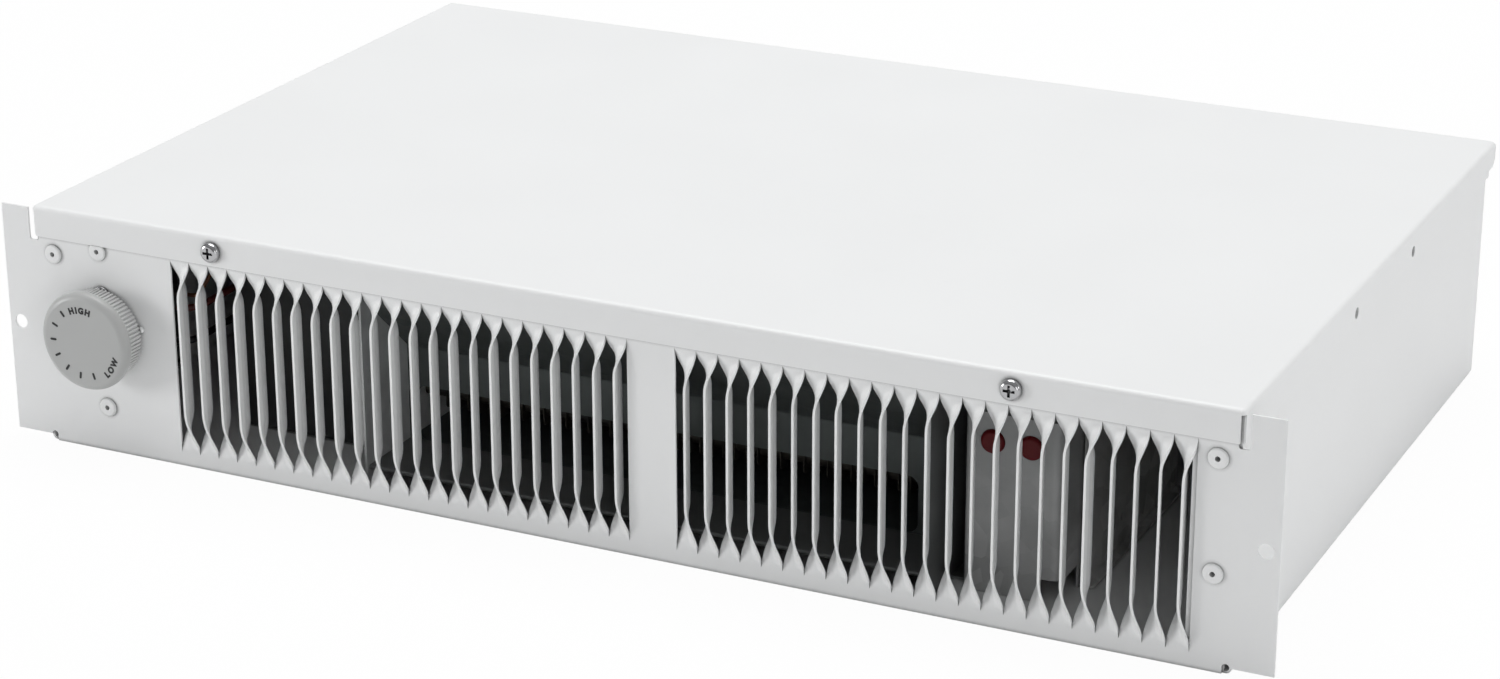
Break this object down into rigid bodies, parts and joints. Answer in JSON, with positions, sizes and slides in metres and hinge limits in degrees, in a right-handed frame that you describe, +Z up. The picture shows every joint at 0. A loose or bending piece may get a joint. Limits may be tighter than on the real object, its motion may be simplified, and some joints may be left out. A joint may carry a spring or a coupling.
{
  "type": "kick-space fan convector heater",
  "caption": "Low electric fan convector heater for a cabinet toe kick: louvred front plate with ears, thermostat dial, and a folded sheet case holding a cross-flow blower and element.",
  "frame": {"origin": "front face of the front plate, midway between its two fixing holes", "axes": "+X left to right seen from the front, +Y into the heater towards the rear, +Z up"},
  "size_m": [0.5434, 0.3485, 0.1024],
  "materials": {
    "aluminium_wheel": "mill finish",
    "black_plastic": "moulded phenolic",
    "bronze": "sintered",
    "ceramic": "unglazed",
    "coil_tape": "taped winding",
    "copper": "drawn copper",
    "element_steel": "heat tarnished",
    "galvanised": "galvanised, dull",
    "green_screw": "dyed zinc",
    "knob_plastic": "fine moulded",
    "lamination": "stacked sheet",
    "limit_plastic": "moulded phenolic",
    "nut_plastic": "moulded",
    "red_insulation": "extruded insulation",
    "red_plastic": "glossy",
    "rubber": "moulded",
    "steel": "ground",
    "white_paint": "semi-gloss powder coat",
    "white_rivet": "painted over",
    "wire_insulation": "extruded insulation",
    "zinc_screw": "bright zinc"
  },
  "bodies": {
    "housing": {"front_panel": "white_paint", "base_tray": "white_paint", "top_cover": "white_paint", "cover_rear_clips": "galvanised", "cover_screws": "zinc_screw", "cover_screw_nuts": "galvanised", "panel_rivets": "white_rivet", "bracket_rivets": "white_rivet", "thermostat_body": "black_plastic", "thermostat_screws": "zinc_screw", "thermostat_bracket": "galvanised", "sensing_bulb": "copper", "bulb_clip": "galvanised", "duct_left_wall": "galvanised", "duct_right_wall": "galvanised", "terminal_guard": "galvanised", "motor_shield": "galvanised", "duct_screws": "zinc_screw", "outlet_face_plate": "galvanised", "duct_floor": "galvanised", "blower_scroll": "galvanised", "blower_cutoff": "galvanised", "bearing_grommet": "rubber", "shaft_bearing": "bronze", "motor_stator": "lamination", "motor_coil": "coil_tape", "motor_brackets": "galvanised", "motor_screws": "zinc_screw", "motor_spacers": "steel", "motor_leads": "wire_insulation", "heating_element": "element_steel", "element_fins": "element_steel", "element_terminals": "ceramic", "fan_delay_switch": "limit_plastic", "limit_box": "galvanised", "limit_box_screw": "zinc_screw", "limit_switches": "limit_plastic", "limit_bracket": "galvanised", "knockout_plug": "zinc_screw", "junction_box_cover": "galvanised", "junction_box_screws": "zinc_screw", "ground_screw": "green_screw", "wire_nuts": "nut_plastic", "internal_leads": "wire_insulation", "thermostat_lead": "red_insulation"},
    "thermostat_dial": {"thermostat_knob": "knob_plastic", "thermostat_shaft": "steel"},
    "blower_wheel": {"impeller": "aluminium_wheel", "impeller_shaft": "steel", "motor_rotor": "lamination"},
    "left_reset": {"reset_button_left": "red_plastic"},
    "right_reset": {"reset_button_right": "red_plastic"}
  },
  "joints": [
    {"name": "knob_turn", "type": "hinge", "parent": "housing", "child": "thermostat_dial", "pos_m": [-0.225, -0.015, 0.0023], "axis": [0, -1, 0], "range_deg": [0, 256]},
    {"name": "blower_spin", "type": "hinge", "parent": "housing", "child": "blower_wheel", "pos_m": [0.0055, 0.105, 0], "axis": [1, 0, 0], "continuous": true},
    {"name": "left_reset_push", "type": "slide", "parent": "housing", "child": "left_reset", "axis": [0, 1, 0], "range_m": [0, 0.0015]},
    {"name": "right_reset_push", "type": "slide", "parent": "housing", "child": "right_reset", "axis": [0, 1, 0], "range_m": [0, 0.0015]}
  ]
}
